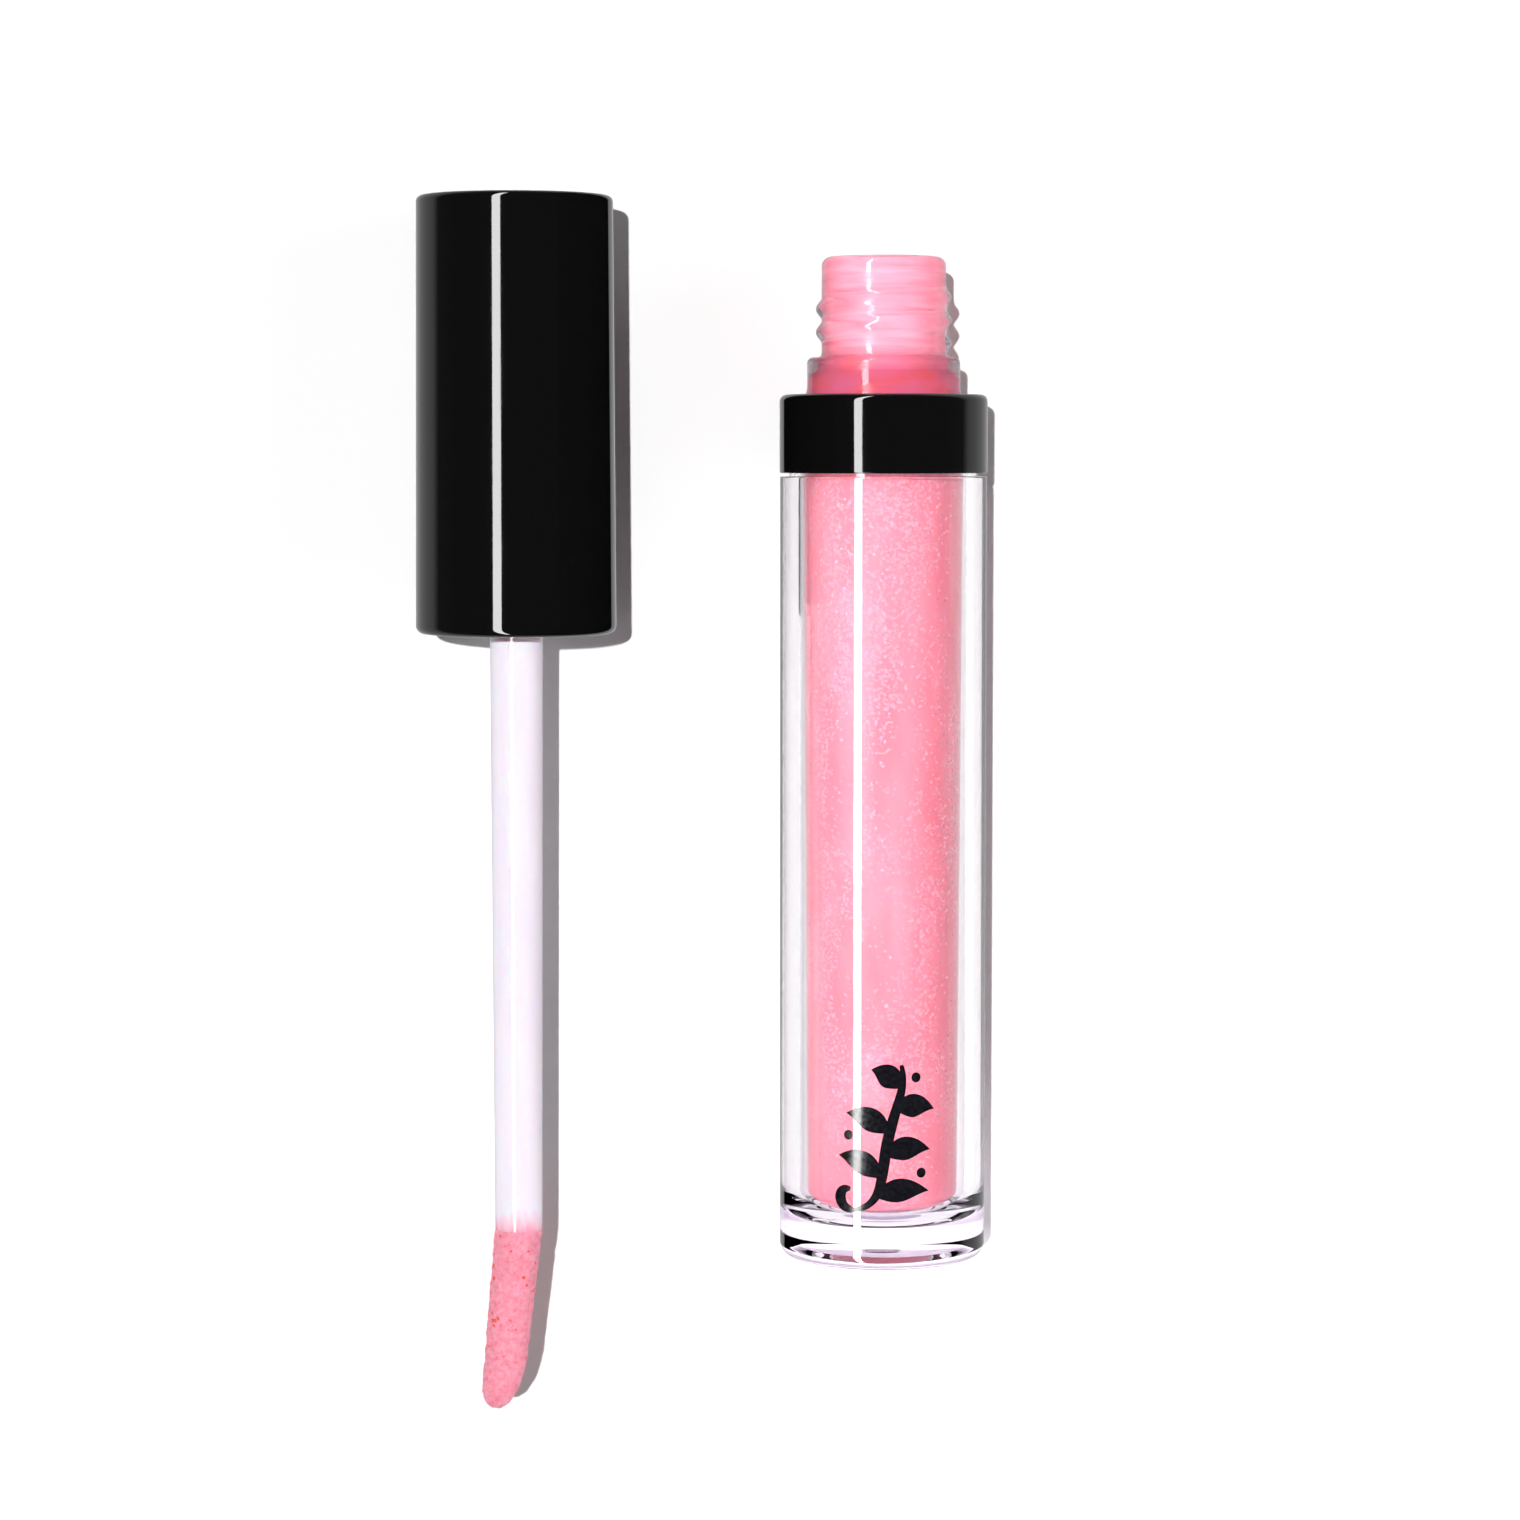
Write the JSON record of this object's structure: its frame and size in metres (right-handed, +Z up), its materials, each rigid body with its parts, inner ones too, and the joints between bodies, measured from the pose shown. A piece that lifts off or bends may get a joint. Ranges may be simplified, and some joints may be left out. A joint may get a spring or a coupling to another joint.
{
  "type": "lip gloss tube",
  "caption": "Opened round lip gloss tube lying beside its tall cap, with a slim wand and a bent flocked applicator tip.",
  "frame": {"origin": "bottom centre of the box round both pieces as they lie, on the surface that they lie on", "axes": "+Y along both pieces, from the tube's base to its neck and from the tip to the cap's crown; +X from the applicator to the tube; +Z up from the surface"},
  "size_m": [0.0498, 0.1067, 0.0181],
  "materials": {
    "clear_plastic": "clear, polished",
    "vessel_plastic": "clear, tinted by its contents",
    "black_plastic": "piano-black gloss",
    "natural_plastic": "natural, satin",
    "pink_gloss": "pearly pink with fine sparkle",
    "foam": "matte foam",
    "stem_plastic": "milky lilac-white, satin gloss",
    "flock": "wet flock, loaded with gloss"
  },
  "bodies": {
    "tube": {"outer_shell": "clear_plastic", "inner_vessel": "vessel_plastic", "collar": "black_plastic", "wiper": "natural_plastic", "lip_gloss": "pink_gloss"},
    "cap_seal": {"seal_washer": "foam"},
    "applicator": {"cap_shell": "black_plastic", "cap_liner": "natural_plastic", "wand_stem": "stem_plastic", "tip_core": "natural_plastic", "tip_flock": "flock"}
  },
  "joints": [
    {"name": "applicator_lift", "type": "slide", "parent": "tube", "child": "cap_seal", "axis": [0, 0, 1], "range_m": [0, 0.035]},
    {"name": "applicator_turn", "type": "hinge", "parent": "cap_seal", "child": "applicator", "pos_m": [-0.01617, 0.01535, 0.00875], "axis": [0, 1, 0], "continuous": true}
  ]
}
